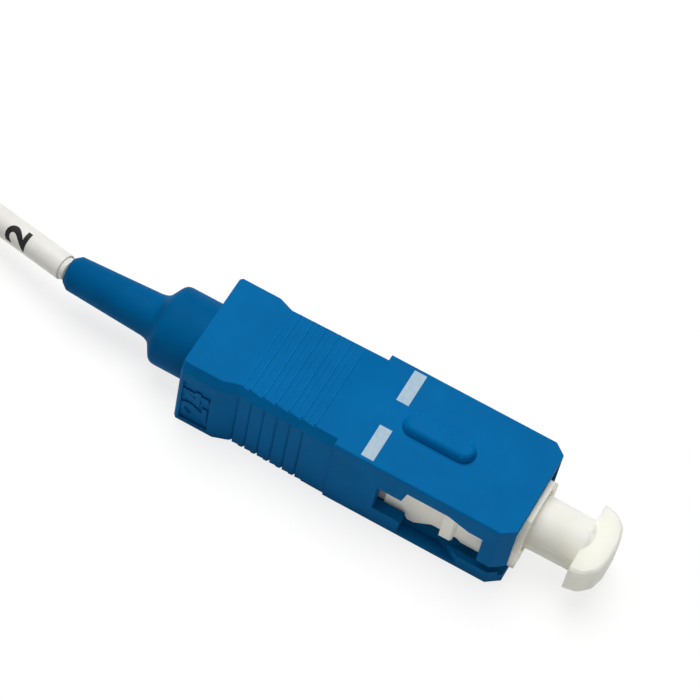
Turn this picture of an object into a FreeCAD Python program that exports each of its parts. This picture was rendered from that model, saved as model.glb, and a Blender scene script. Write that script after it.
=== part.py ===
import FreeCAD, Part
import math
import os
import re
import Sketcher
from FreeCAD import Placement, Rotation, Vector

# A push-pull fibre-optic connector on its lead, lying on its flat underside.
#
# Every piece is drawn with X measured forward from the rear face of the grip, Y to the left and
# Z up from the underside of the grip.  The turned pieces are drawn round their own X axis and are
# lifted to the fibre's axis.  The placement of each piece then moves it back by FRAME_SHIFT, so
# that the model's origin is under the middle of the connector, from boot end to cap.

doc = FreeCAD.newDocument("fibre_connector")

# ---------------------------------------------------------------------------------------------
# Driving dimensions, in millimetres
# ---------------------------------------------------------------------------------------------
SIZES = {
    # grip: the outer housing that the fingers hold
    "grip_length": 27.15,
    "grip_width": 8.99,
    "grip_height": 7.39,
    "step_x": 12.6,              # where the finger zone ends and the full-size front begins
    "lip_stand": 0.45,           # how far the rear lip stands out past the finger zone
    "lip_length": 3.3,
    "lip_ramp": 1.2,
    "lip_round": 0.20,
    "lip_skin": 0.395,           # thinnest wall over the boot's bore, and beside it
    "groove_skin": 0.90,
    "waist_wall": 0.625,         # side wall of the ribbed finger zone
    "bevel_across": 0.42,        # the long corner bevels of the finger zone
    "bevel_down": 0.75,
    "nose_chamfer_x": 1.00,      # corners of the front, seen from above
    "nose_chamfer_y": 0.78,
    "grip_edge": 0.15,
    "bore_overlap": 0.35,        # how far the boot's bore runs past the plug frame's rear
    # raised key and its side wings
    "key_nose": 11.25,           # from the nose back to the key's rear end
    "key_length": 5.9,
    "key_width": 1.98,
    "key_rise": 0.75,
    "key_draft": 15.0,           # degrees
    # ribs of the finger zone
    "rib_first": 4.75,
    "rib_pitch": 1.075,
    "rib_count": 6,
    "top_rib_depth": 0.12,
    "side_groove_depth": 0.28,
    "side_groove_width": 0.22,
    "side_groove_down": 0.94,    # from the top of the grip
    # recessed panel near the rear
    "panel_x": 0.42,
    "panel_length": 2.35,
    "panel_low": 0.45,
    "panel_down": 1.79,
    "panel_depth": 0.18,
    # windows and latch channels in both side walls, measured back from the nose or down from the top
    "window_length": 2.0,        # from the window's rear end to its step
    "window_low": 1.85,
    "window_step_down": 2.64,
    "window_step_nose": 8.65,
    "window_step_run": 0.3,
    "window_down": 1.36,
    "window_slope_nose": 4.95,
    "window_slope_run": 1.7,
    "window_front_down": 2.01,
    "window_nose": 2.10,
    "channel_high": 2.30,
    "ledge_high": 1.45,
    "hook_way_play": 0.23,       # beside the plug frame, for an adapter's two hooks
    "hook_way_high": 3.1,
    "hook_slot_width": 0.40,
    "hook_slot_floor": 0.95,
    "cam_floor": 0.45,
    "cam_nose": 5.40,
    "cam_ramp_run": 1.95,
    # white plug frame inside the grip
    "frame_length": 18.10,
    "frame_out": 0.40,           # how far it stands out of the grip's nose
    "frame_width": 6.90,
    "frame_gap": 0.125,
    "frame_key_across": 1.5,     # large bevels on the key side of the nose
    "frame_key_down": 2.45,
    "frame_key_length": 2.25,
    "frame_bevel": 0.8,
    "bore_wall": 0.30,           # over the spring's bore
    "nose_wall": 0.275,          # over the nose cavity
    "seat_nose": 5.15,           # from the frame's front back to the ferrule's seat
    "seat_wall": 1.0,
    "seat_hole_play": 0.10,
    "latch_nose": 5.40,
    "latch_length": 1.0,
    "latch_rise": 0.6,
    "latch_high": 3.1,
    "latch_bevel": 0.15,
    "side_depth": 0.55,          # how far the sides are cut back below, and behind the waist
    "waist_back": 1.6,
    "rail_rise": 0.68,
    "rail_ramp": 0.4,
    "belly_length": 1.9,         # between the rail and the latch the side comes down lowest
    "arch_back": 0.85,
    "arch_ahead": 1.20,
    "arch_rise": 1.0,
    "sill_run": 0.45,
    "nose_rise": 1.35,
    "snap_slot_in": 1.05,
    "snap_slot_length": 1.2,
    "snap_slot_high": 2.2,
    "snap_play": 0.1,
    # ferrule set
    "ferrule_dia": 2.499,
    "ferrule_length": 10.5,
    "tip_out": 2.05,             # how far the ferrule stands out of the frame
    "tip_chamfer": 0.45,
    "fibre_dia": 0.125,
    "fibre_play": 0.001,
    "flange_play": 0.175,
    "seat_play": 0.10,
    "flange_length": 1.8,
    "flange_bevel": 0.25,
    "flange_notch": 0.55,
    "barrel_wall": 0.3005,
    "barrel_hold": 1.6,          # how far the barrel reaches behind the ferrule
    "tube_dia": 1.80,
    "tube_hold": 0.6,
    "tube_in": 1.3,
    "buffer_dia": 0.90,
    "buffer_play": 0.06,
    "buffer_in": 0.4,
    # coil spring behind the flange
    "spring_wire": 0.50,
    "spring_turns": 5,
    "barrel_play": 0.15,
    "spring_play": 0.25,
    # stop ring that closes the frame and carries the crimp
    "stop_reach": 3.75,          # how far its sleeve goes into the frame
    "stop_play": 0.05,
    "stop_barb": 0.22,
    "stop_flange_room": 0.50,
    "stop_flange_length": 1.1,
    "crimp_barrel_dia": 3.90,
    "crimp_barrel_length": 5.05,
    "tube_play": 0.15,
    "crimp_groove": 0.15,
    "groove_pitch": 1.2,
    # crimp ring and the yarn under it
    "yarn_thick": 0.18,
    "yarn_back": 0.4,
    "crimp_wall": 0.30,
    "crimp_back": 0.35,
    "crimp_taper": 0.8,
    "crimp_neck_length": 3.2,
    "crimp_play": 0.02,
    # boot
    "boot_play": 0.10,
    "boot_ahead": 0.05,          # how far its front passes the crimp ring
    "boot_barrel_length": 11.65,
    "boot_tail_length": 8.3,
    "boot_root_wall": 0.73,
    "boot_tail_wall": 0.46,
    "boot_end_wall": 0.09,
    "boot_end_taper": 0.45,
    "boot_shoulder_round": 0.55,
    "boot_root_round": 0.50,
    "boot_fit": 0.10,
    # dust cap
    "cap_play": 0.295,
    "cap_taper": 0.09,
    "cap_fit": 0.0305,
    "cap_in": 2.95,              # how far its rim goes into the frame
    "cap_out": 3.83,             # where the barrel meets the head, from the frame's front
    "cap_end_play": 0.8,
    "cap_head_width": 6.30,
    "cap_head_thick": 3.0,
    "cap_head_length": 2.25,
    "cap_head_side": 1.12,       # how far forward the head's sides run before it turns in
    "cap_corner_round": 0.9,
    "cap_edge_bevel": 0.20,
    # lead
    "lead_dia": 1.80,
    "lead_clearance": 0.06,
    "sleeve_play": 0.05,
    "sleeve_wall": 0.10,
    "sleeve_length": 10.6,
    "sleeve_gap": 0.5,
    "hank_run": 32.0,            # the straight sides of the tied hank
    "hank_ring": 7.35,           # from its middle line to its outermost strand's middle
    "hank_layers": 5,
    "hank_tie": 0.35,
    "hank_slack": 0.15,
    "hank_spare": 0.60,
}

# Sizes that follow from others: what fits, seats, passes or lines up takes its size and place here
FITS = {
    # places along the grip, worked back from its nose
    "frame_front": "grip_length + frame_out",
    "frame_rear": "frame_front - frame_length",
    "boot_bore_depth": "frame_rear + bore_overlap",
    "key_x": "grip_length - key_nose",
    "window_front": "grip_length - window_nose",
    "window_slope_x": "grip_length - window_slope_nose",
    "window_step_x": "grip_length - window_step_nose",
    "window_rear": "window_step_x - window_length",
    "cam_ramp_x": "grip_length - cam_nose",
    "latch_x": "grip_length - latch_nose",
    "arch_x": "latch_x - arch_back",
    "arch_front": "latch_x + arch_ahead",
    "sill_x": "arch_front + sill_run",
    "belly_x": "arch_x - belly_length",
    "rail_front": "belly_x - rail_ramp",
    "waist_front": "rail_front - waist_back",
    "frame_key_x": "frame_front - frame_key_length",
    "seat_rear": "frame_front - seat_nose",
    "flange_front": "seat_rear - seat_play",
    "ferrule_tip": "frame_front + tip_out",
    "snap_slot_x": "frame_rear + snap_slot_in",
    "stop_front": "frame_rear + stop_reach",
    "stop_flange_rear": "frame_rear - stop_flange_length",
    "stop_rear": "stop_flange_rear - crimp_barrel_length",
    "tube_rear": "stop_rear + tube_in",
    "buffer_rear": "stop_rear + buffer_in",
    "crimp_front": "stop_flange_rear - crimp_back",
    "crimp_neck_rear": "stop_rear - crimp_neck_length",
    "boot_front": "crimp_front + boot_ahead",
    "boot_shoulder": "boot_barrel_length - boot_front",
    "boot_out": "boot_shoulder + boot_tail_length",
    "cap_inside": "frame_front - cap_in",
    "cap_neck_front": "frame_front + cap_out",
    "cap_bore_end": "ferrule_tip + cap_end_play",
    # heights from the underside
    "side_groove_top": "grip_height - side_groove_down",
    "panel_high": "grip_height - panel_down",
    "window_high": "grip_height - window_down",
    "window_step_low": "grip_height - window_step_down",
    "window_front_high": "grip_height - window_front_down",
    # round pieces, worked outwards from the fibre
    "fibre_bore": "fibre_dia + fibre_play",
    "tube_bore": "buffer_dia + 2 * buffer_play",
    "stop_bore": "tube_dia + 2 * tube_play",
    "barrel_dia": "ferrule_dia + 2 * barrel_wall",
    "spring_outer": "barrel_dia + 2 * barrel_play + 2 * spring_wire",
    "spring_bore": "spring_outer + 2 * spring_play",
    "flange_dia": "spring_bore - 2 * flange_play",
    "stop_dia": "spring_bore - 2 * stop_play",
    "seat_hole": "barrel_dia + 2 * seat_hole_play",
    "frame_cavity": "spring_bore + 2 * bore_wall - 2 * nose_wall",
    "cap_bore": "ferrule_dia + 2 * cap_fit",
    "cap_rim_dia": "frame_cavity - 2 * cap_play",
    "cap_neck_dia": "cap_rim_dia - 2 * cap_taper",
    # walls of the grip round the plug frame and the boot
    "skin": "(grip_height - spring_bore) / 2 - bore_wall - frame_gap",
    "waist_width": "frame_width + 2 * frame_gap + 2 * waist_wall",
    "lip_width": "waist_width + 2 * lip_stand",
    "hook_way_width": "frame_width + 2 * hook_way_play",
    "boot_bore": "min(grip_height - 2 * lip_skin; waist_width - 2 * groove_skin)",
    "boot_dia": "boot_bore - 2 * boot_play",
    "stop_flange_dia": "boot_bore - 2 * stop_flange_room",
    "boot_hole": "lead_dia + 2 * lead_clearance",
    "boot_root_dia": "boot_hole + 2 * boot_root_wall",
    "boot_tail_dia": "boot_hole + 2 * boot_tail_wall",
    "boot_end_dia": "boot_hole + 2 * boot_end_wall",
    # the hank: strands and the tie round them
    "hank_width": "2 * hank_ring + lead_dia + 2 * hank_tie",
    "hank_slot": "2 * hank_ring - 3 * lead_dia - 2 * hank_slack",
    "hank_height": "hank_layers * lead_dia + hank_spare",
}

sheet = doc.addObject("Spreadsheet::Sheet", "Sizes")
for row, (alias, number) in enumerate(SIZES.items(), start=1):
    sheet.set("A%d" % row, alias)
    sheet.set("B%d" % row, str(number))
    sheet.setAlias("B%d" % row, alias)
doc.recompute()

# Derived places that several pieces share, as expressions on the sheet
AXIS = "grip_height / 2"
BOOT_END = "0 - boot_out"
FRAME_SHIFT = "(cap_neck_front + cap_head_length - boot_out) / 2"
FRAME_LOW = "skin + frame_gap"
CRIMP_DIA = "crimp_barrel_dia + 2 * yarn_thick + 2 * crimp_wall"


def expand(text):
    """An expression as the document needs it: cells with the sheet's name, and fits written out."""
    def spelled(found):
        name = found.group(0)
        if name in FITS:
            return "(%s)" % expand(FITS[name])
        return "Sizes." + name if name in SIZES else name
    return re.sub(r"[a-z][a-z_]+", spelled, text)


def size(text):
    """The present value of an expression on the sheet."""
    return float(sheet.evalExpression(expand(text)))


def bind(thing, prop, text):
    thing.setExpression(prop, expand(text))


def place(thing, lift="0"):
    """Move a finished piece from the grip's rear end to the model's origin."""
    bind(thing, "Placement.Base.x", "0 - (%s)" % FRAME_SHIFT)
    bind(thing, "Placement.Base.z", lift)


def new_body(label, lift="0"):
    body = doc.addObject("PartDesign::Body", label)
    body.Label = label
    place(body, lift)
    return body


def new_sketch(body, name, role, offset="0"):
    """A sketch on one of the body's own origin planes, moved along the plane's normal."""
    sketch = body.newObject("Sketcher::SketchObject", name)
    plane = [f for f in body.Origin.OriginFeatures if f.Role == role][0]
    sketch.AttachmentSupport = [(plane, "")]
    sketch.MapMode = "FlatFace"
    bind(sketch, "AttachmentOffset.Base.z", offset)
    return sketch


def pin_point(sketch, geo, pos, across, up):
    """Dimension a sketch point from the sketch's origin, each way, by an expression."""
    for kind, axis, text in (("DistanceX", -2, across), ("DistanceY", -1, up)):
        number = size(text)
        if abs(number) < 1e-9:
            sketch.addConstraint(Sketcher.Constraint("PointOnObject", geo, pos, axis))
        elif number > 0:
            index = sketch.addConstraint(Sketcher.Constraint(kind, -1, 1, geo, pos, number))
            bind(sketch, "Constraints[%d]" % index, text)
        else:
            index = sketch.addConstraint(Sketcher.Constraint(kind, geo, pos, -1, 1, -number))
            bind(sketch, "Constraints[%d]" % index, "0 - (%s)" % text)


def outline(body, name, role, points, offset="0"):
    """A closed outline of straight lines through points given as pairs of expressions."""
    sketch = new_sketch(body, name, role, offset)
    spots = [Vector(size(a), size(b), 0) for a, b in points]
    count = len(spots)
    for i in range(count):
        sketch.addGeometry(Part.LineSegment(spots[i], spots[(i + 1) % count]), False)
    for i in range(count):
        sketch.addConstraint(Sketcher.Constraint("Coincident", i, 2, (i + 1) % count, 1))
    for i, (across, up) in enumerate(points):
        pin_point(sketch, i, 1, across, up)
    return sketch


def circles(body, name, role, diameters, offset="0", up="0"):
    """Circles about one centre."""
    sketch = new_sketch(body, name, role, offset)
    for i, text in enumerate(diameters):
        sketch.addGeometry(Part.Circle(Vector(0, size(up), 0), Vector(0, 0, 1), size(text) / 2), False)
        pin_point(sketch, i, 3, "0", up)
        index = sketch.addConstraint(Sketcher.Constraint("Diameter", i, size(text)))
        bind(sketch, "Constraints[%d]" % index, text)
    return sketch


def rounded_slot(sketch, rear, front, radius):
    """Two straight sides joined by half circles, between two centres on the X axis."""
    low, high, round_off = size(rear), size(front), size(radius)
    first, up = sketch.GeometryCount, Vector(0, 0, 1)
    sketch.addGeometry(Part.ArcOfCircle(Part.Circle(Vector(low, 0, 0), up, round_off),
                                        math.pi / 2, 3 * math.pi / 2), False)
    sketch.addGeometry(Part.LineSegment(Vector(low, -round_off, 0), Vector(high, -round_off, 0)), False)
    sketch.addGeometry(Part.ArcOfCircle(Part.Circle(Vector(high, 0, 0), up, round_off),
                                        -math.pi / 2, math.pi / 2), False)
    sketch.addGeometry(Part.LineSegment(Vector(high, round_off, 0), Vector(low, round_off, 0)), False)
    for step in range(4):
        sketch.addConstraint(Sketcher.Constraint("Tangent", first + step, 2, first + (step + 1) % 4, 1))
    pin_point(sketch, first, 3, rear, "0")
    pin_point(sketch, first + 2, 3, front, "0")
    index = sketch.addConstraint(Sketcher.Constraint("Radius", first, round_off))
    bind(sketch, "Constraints[%d]" % index, radius)


def pad(body, name, sketch, length, reverse=False):
    feature = body.newObject("PartDesign::Pad", name)
    feature.Profile = sketch
    feature.Reversed = reverse
    bind(feature, "Length", length)
    doc.recompute()
    return feature


def pocket(body, name, sketch, length=None, reverse=False):
    """Cut a profile out of the body, by a length or right through both ways."""
    before = body.Shape.Volume
    feature = body.newObject("PartDesign::Pocket", name)
    feature.Profile = sketch
    feature.Reversed = reverse
    if length is None:
        feature.Type = "ThroughAll"
        feature.Midplane = True
    else:
        bind(feature, "Length", length)
    doc.recompute()
    if not body.Shape.Volume < before - 1e-6:
        raise RuntimeError("pocket %s cuts nothing from %s" % (name, body.Label))
    return feature


def mirror(body, name, features, role="XZ_Plane"):
    feature = body.newObject("PartDesign::Mirrored", name)
    feature.Originals = features
    feature.MirrorPlane = ([f for f in body.Origin.OriginFeatures if f.Role == role][0], [""])
    body.Tip = feature
    doc.recompute()
    return feature


def repeat(body, name, features, count, pitch):
    """Repeat features along X."""
    feature = body.newObject("PartDesign::LinearPattern", name)
    feature.Originals = features
    feature.Direction = ([f for f in body.Origin.OriginFeatures if f.Role == "X_Axis"][0], [""])
    bind(feature, "Length", "(%s - 1) * %s" % (count, pitch))
    bind(feature, "Occurrences", count)
    body.Tip = feature
    doc.recompute()
    return feature


def turned(label, profile, lift=AXIS):
    """A piece turned round the fibre's axis from a profile of (along, radius) expressions."""
    body = new_body(label, lift)
    sketch = outline(body, label + "_profile", "XZ_Plane", profile)
    feature = body.newObject("PartDesign::Revolution", label + "_turned")
    feature.Profile = sketch
    feature.ReferenceAxis = (sketch, ["H_Axis"])
    feature.Angle = 360
    doc.recompute()
    return body


def soften(body, name, picked, amount, kind="Fillet"):
    """Round or bevel the edges that the test picks."""
    base = body.Tip
    edges = ["Edge%d" % (i + 1) for i, edge in enumerate(base.Shape.Edges) if picked(edge)]
    if not edges:
        raise RuntimeError("no edge to round for " + name)
    feature = body.newObject("PartDesign::" + kind, name)
    feature.Base = (base, edges)
    bind(feature, "Radius" if kind == "Fillet" else "Size", amount)
    doc.recompute()
    return feature


# ---------------------------------------------------------------------------------------------
# Outer grip: one blue moulding, open from end to end, with a window and a latch channel each side
# ---------------------------------------------------------------------------------------------
def bevelled(width, across, down):
    """The finger zone's section: a box with its two upper long corners bevelled."""
    half, inner = "(%s) / 2" % width, "(%s) / 2 - %s" % (width, across)
    right = [(half, "0"), (half, "grip_height - " + down), (inner, "grip_height")]
    return right + [("0 - (%s)" % y, z) for y, z in reversed(right)]


def make_grip():
    body = new_body("outer_grip")
    half, corner = "grip_width / 2", "grip_width / 2 - nose_chamfer_y"
    nose = "grip_length - nose_chamfer_x"
    plan = [("step_x", "0 - " + half), (nose, "0 - " + half), ("grip_length", "0 - (%s)" % corner),
            ("grip_length", corner), (nose, half), ("step_x", half)]
    pad(body, "front_block", outline(body, "front_plan", "XY_Plane", plan), "grip_height")
    long_corner = size(half)
    soften(body, "front_edges", lambda e: abs(abs(e.CenterOfMass.y) - long_corner) < 1e-3
           and e.BoundBox.XLength > 5 and e.CenterOfMass.z > size("grip_height / 2"), "grip_edge")

    stations = [("0", "lip_width - 2 * lip_round"), ("lip_round", "lip_width"), ("lip_length", "lip_width"),
                ("lip_length + lip_ramp", "waist_width"), ("step_x", "waist_width")]
    sections = [outline(body, "grip_section_%d" % i, "YZ_Plane",
                        bevelled(width, "bevel_across", "bevel_down"), x)
                for i, (x, width) in enumerate(stations)]
    rear = body.newObject("PartDesign::AdditiveLoft", "finger_zone")
    rear.Profile = sections[0]
    rear.Sections = sections[1:]
    rear.Ruled = True
    doc.recompute()

    key = new_sketch(body, "key_plan", "XY_Plane", "grip_height - 0.05")
    rounded_slot(key, "key_x + key_width / 2", "key_x + key_length - key_width / 2", "key_width / 2")
    raised = pad(body, "key", key, "key_rise + 0.05")
    bind(raised, "TaperAngle", "0 - key_draft")
    doc.recompute()

    # inside: a round bore for the boot at the rear, the plug frame's cavity, and the hooks' way
    pocket(body, "boot_bore_cut", circles(body, "boot_bore_circle", "YZ_Plane", ["boot_bore"], "0", AXIS),
           "boot_bore_depth", reverse=True)
    cavity_half = "frame_width / 2 + frame_gap"
    cavity = [("0 - (%s)" % cavity_half, "skin"), (cavity_half, "skin"),
              (cavity_half, "grip_height - skin"), ("0 - (%s)" % cavity_half, "grip_height - skin")]
    section = outline(body, "frame_cavity_section", "YZ_Plane", cavity, "frame_rear - 0.2")
    pocket(body, "frame_cavity_cut", section, "grip_length", reverse=True)
    way_low, way_high = AXIS + " - hook_way_high / 2", AXIS + " + hook_way_high / 2"
    way = [("0 - hook_way_width / 2", way_low), ("hook_way_width / 2", way_low),
           ("hook_way_width / 2", way_high), ("0 - hook_way_width / 2", way_high)]
    pocket(body, "hook_way", outline(body, "hook_way_section", "YZ_Plane", way, "window_step_x"),
           "grip_length", reverse=True)

    # the window's outline is the same in both side walls
    window = [("window_rear", "window_low"), ("window_step_x + window_step_run", "window_low"),
              ("window_step_x + window_step_run", "ledge_high"), ("grip_length + 1", "ledge_high"),
              ("grip_length + 1", "channel_high"), ("window_front", "channel_high"),
              ("window_front", "window_front_high"),
              ("window_slope_x + window_slope_run", "window_front_high"),
              ("window_slope_x", "window_high"), ("window_step_x + window_step_run", "window_high"),
              ("window_step_x", "window_step_low"), ("window_rear", "window_step_low")]
    pocket(body, "side_windows", outline(body, "window_outline", "XZ_Plane", window))

    # below the window the wall is cut back, and a cam ramps out again to unlatch the hooks
    out = "lip_width"
    cam = [("window_step_x + window_step_run", cavity_half), ("cam_ramp_x", cavity_half),
           ("cam_ramp_x + cam_ramp_run", "grip_width / 2"),
           ("cam_ramp_x + cam_ramp_run", out), ("window_step_x + window_step_run", out)]
    cut = pocket(body, "cam_relief", outline(body, "cam_plan", "XY_Plane", cam, "cam_floor"),
                 "window_low + 0.5 - cam_floor", reverse=True)
    mirror(body, "cam_reliefs", [cut])
    outer = cavity_half + " + hook_slot_width"
    slot = [(cavity_half, "hook_slot_floor"), (outer, "hook_slot_floor"), (outer, "window_low"),
            (cavity_half, "window_low")]
    cut = pocket(body, "hook_slot", outline(body, "hook_slot_section", "YZ_Plane", slot, "cam_ramp_x"),
                 "grip_length", reverse=True)
    mirror(body, "hook_slots", [cut])

    # ribs across the top and underside, and upright grooves on the two sides
    rib_back, rib_front = "rib_first - rib_pitch / 2", "rib_first + rib_pitch / 2"
    tooth = [(rib_back, "grip_height + 0.01"), (rib_front, "grip_height + 0.01"),
             (rib_front, "grip_height - top_rib_depth")]
    top = pocket(body, "top_rib", outline(body, "top_rib_tooth", "XZ_Plane", tooth))
    repeat(body, "top_ribs", [top], "rib_count", "rib_pitch")
    tooth = [(rib_back, "0 - 0.01"), (rib_front, "0 - 0.01"), (rib_front, "top_rib_depth")]
    low = pocket(body, "low_rib", outline(body, "low_rib_tooth", "XZ_Plane", tooth))
    repeat(body, "low_ribs", [low], "rib_count", "rib_pitch")
    floor_y = "waist_width / 2 - side_groove_depth"
    slot = [("rib_first - side_groove_width", "lip_width"),
            ("rib_first - side_groove_width", "waist_width / 2"),
            ("rib_first", floor_y), ("rib_first", "lip_width")]
    groove = pocket(body, "side_groove", outline(body, "side_groove_plan", "XY_Plane", slot, "0 - 0.1"),
                    "side_groove_top + 0.1", reverse=True)
    repeat(body, "side_grooves", [groove], "rib_count", "rib_pitch")
    slot = [(x, "0 - (%s)" % y) for x, y in slot]
    groove = pocket(body, "right_groove", outline(body, "right_groove_plan", "XY_Plane", slot, "0 - 0.1"),
                    "side_groove_top + 0.1", reverse=True)
    repeat(body, "right_grooves", [groove], "rib_count", "rib_pitch")

    # a shallow bare panel on the right side of the rear lip
    panel = [("panel_x", "panel_low"), ("panel_x + panel_length", "panel_low"),
             ("panel_x + panel_length", "panel_high"), ("panel_x", "panel_high")]
    pocket(body, "side_panel", outline(body, "side_panel_outline", "XZ_Plane", panel,
                                       "lip_width / 2 - panel_depth"), "1", reverse=True)
    return body


# ---------------------------------------------------------------------------------------------
# Plug frame: the white inner housing that an adapter's hooks hold
# ---------------------------------------------------------------------------------------------
def make_plug_frame():
    body = new_body("plug_frame")
    half, low = "frame_width / 2", FRAME_LOW
    high = "grip_height - (%s)" % FRAME_LOW
    section = [("0 - " + half, low), (half, low), (half, "%s - frame_bevel" % high),
               (half + " - frame_bevel", high), ("0 - (%s - frame_bevel)" % half, high),
               ("0 - " + half, "%s - frame_bevel" % high)]
    outer = outline(body, "frame_section", "YZ_Plane", section, "frame_rear")
    pad(body, "frame_block", outer, "frame_front - frame_rear")

    # two large bevels on the key side of the nose, so that the plug goes in one way up
    foot, inner = "%s - frame_key_down" % high, "0 - (%s - frame_key_across)" % half
    bevel = [("0 - %s - 1" % half, foot), ("0 - " + half, foot), (inner, high),
             (inner, "grip_height"), ("0 - %s - 1" % half, "grip_height")]
    cut = pocket(body, "key_bevel", outline(body, "key_bevel_section", "YZ_Plane", bevel, "frame_key_x"),
                 "grip_length", reverse=True)
    mirror(body, "key_bevels", [cut])

    # the lower edge of each side: a slim rail, a lower belly, an arch behind the latch and a sill
    side = [("frame_rear - 1", "0"), ("frame_rear - 1", "grip_height"), ("waist_front", "grip_height"),
            ("waist_front", low + " + rail_rise"), ("rail_front", low + " + rail_rise"),
            ("belly_x", low), ("belly_x + side_depth", low), ("arch_x", low + " + arch_rise"),
            ("arch_front", low + " + arch_rise"), ("sill_x", low + " + rail_rise"),
            ("window_front", low + " + rail_rise"), ("window_front + 0.6", low + " + nose_rise"),
            ("frame_front + 1", low + " + nose_rise"), ("frame_front + 1", "0")]
    cut = pocket(body, "side_cut", outline(body, "side_outline", "XZ_Plane", side, half + " - side_depth"),
                 "2", reverse=True)
    mirror(body, "side_cuts", [cut])

    # latch blocks on the two sides, which an adapter's hooks close behind
    root = half + " - 0.2"
    block = [("latch_x", root), ("latch_x + latch_length", root),
             ("latch_x + latch_length", half + " + latch_rise - latch_bevel"),
             ("latch_x + latch_length - latch_bevel", half + " + latch_rise"),
             ("latch_x", half + " + latch_rise")]
    plan = outline(body, "latch_plan", "XY_Plane", block, AXIS + " - latch_high / 2")
    raised = pad(body, "latch_block", plan, "latch_high")
    mirror(body, "latch_blocks", [raised])

    # bore: nose cavity in front, then the seat wall, then the spring bore and snap slots behind
    pocket(body, "nose_cavity", circles(body, "nose_circle", "YZ_Plane", ["frame_cavity"],
                                        "seat_rear + seat_wall", AXIS), "frame_front", reverse=True)
    pocket(body, "seat_hole_cut", circles(body, "seat_circle", "YZ_Plane", ["seat_hole"],
                                          "seat_rear - 1", AXIS), "seat_wall + 2", reverse=True)
    pocket(body, "spring_bore_cut", circles(body, "bore_circle", "YZ_Plane", ["spring_bore"],
                                            "seat_rear", AXIS), "seat_rear")
    slot = [("snap_slot_x", AXIS + " - snap_slot_high / 2"),
            ("snap_slot_x + snap_slot_length", AXIS + " - snap_slot_high / 2"),
            ("snap_slot_x + snap_slot_length", AXIS + " + snap_slot_high / 2"),
            ("snap_slot_x", AXIS + " + snap_slot_high / 2")]
    pocket(body, "snap_slots", outline(body, "snap_slot_outline", "XZ_Plane", slot))
    return body


# ---------------------------------------------------------------------------------------------
# Ferrule set: what floats on the spring
# ---------------------------------------------------------------------------------------------
FERRULE_REAR = "ferrule_tip - ferrule_length"
FLANGE_REAR = "flange_front - flange_length"
BARREL_REAR = "ferrule_tip - ferrule_length - barrel_hold"


def make_ferrule():
    bore, outer = "fibre_bore / 2", "ferrule_dia / 2"
    return turned("ferrule", [(FERRULE_REAR, bore), (FERRULE_REAR, outer),
                              ("ferrule_tip - tip_chamfer", outer),
                              ("ferrule_tip", outer + " - tip_chamfer / 2"), ("ferrule_tip", bore)])


def make_flange():
    """Metal holder: a notched flange, a barrel behind it, and bores for the ferrule and the tube."""
    rim, barrel, tube = "flange_dia / 2", "barrel_dia / 2", "tube_dia / 2"
    body = turned("ferrule_flange", [(BARREL_REAR, tube), (BARREL_REAR, barrel), (FLANGE_REAR, barrel),
                                     (FLANGE_REAR, rim), ("flange_front - flange_bevel", rim),
                                     ("flange_front", rim + " - flange_bevel"),
                                     ("flange_front", "ferrule_dia / 2"),
                                     (FERRULE_REAR, "ferrule_dia / 2"), (FERRULE_REAR, tube)])
    deep = "flange_dia / 2 - flange_notch"
    notch = [(deep, "0 - flange_notch / 2"), ("flange_dia", "0 - flange_notch / 2"),
             ("flange_dia", "flange_notch / 2"), (deep, "flange_notch / 2")]
    cut = pocket(body, "flange_notch_cut", outline(body, "notch_section", "YZ_Plane", notch, FLANGE_REAR),
                 "flange_length", reverse=True)
    ring = body.newObject("PartDesign::PolarPattern", "flange_notches")
    ring.Originals = [cut]
    ring.Axis = ([f for f in body.Origin.OriginFeatures if f.Role == "X_Axis"][0], [""])
    ring.Occurrences = 4
    ring.Angle = 360
    body.Tip = ring
    doc.recompute()
    return body


def rod(label, rear, front, diameter, bore=None, lift=AXIS):
    """A plain round piece between two places along the axis, solid or with a bore."""
    inner = "0" if bore is None else "(%s) / 2" % bore
    outer = "(%s) / 2" % diameter
    return turned(label, [(rear, inner), (rear, outer), (front, outer), (front, inner)], lift)


def make_spring():
    """Compression spring between the stop ring and the flange."""
    helix = doc.addObject("Part::Helix", "spring_path")
    bind(helix, "Radius", "(spring_outer - spring_wire) / 2")
    bind(helix, "Height", "%s - stop_front - spring_wire" % FLANGE_REAR)
    bind(helix, "Pitch", "(%s - stop_front - spring_wire) / spring_turns" % FLANGE_REAR)
    wire = doc.addObject("Part::RegularPolygon", "spring_wire_section")
    wire.Polygon = 6
    bind(wire, "Circumradius", "spring_wire / 2")
    bind(wire, "Placement.Base.x", "(spring_outer - spring_wire) / 2")
    wire.Placement.Rotation = Rotation(Vector(1, 0, 0), 90)
    doc.recompute()
    spring = doc.addObject("Part::Sweep", "spring")
    spring.Sections = [wire]
    spring.Spine = (helix, ["Edge1"])
    spring.Solid = True
    spring.Frenet = True
    spring.Label = "spring"
    spring.Placement.Rotation = Rotation(Vector(0, 1, 0), 90)
    bind(spring, "Placement.Base.x", "stop_front + spring_wire / 2 - (%s)" % FRAME_SHIFT)
    bind(spring, "Placement.Base.z", AXIS)
    doc.recompute()
    return spring


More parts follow.
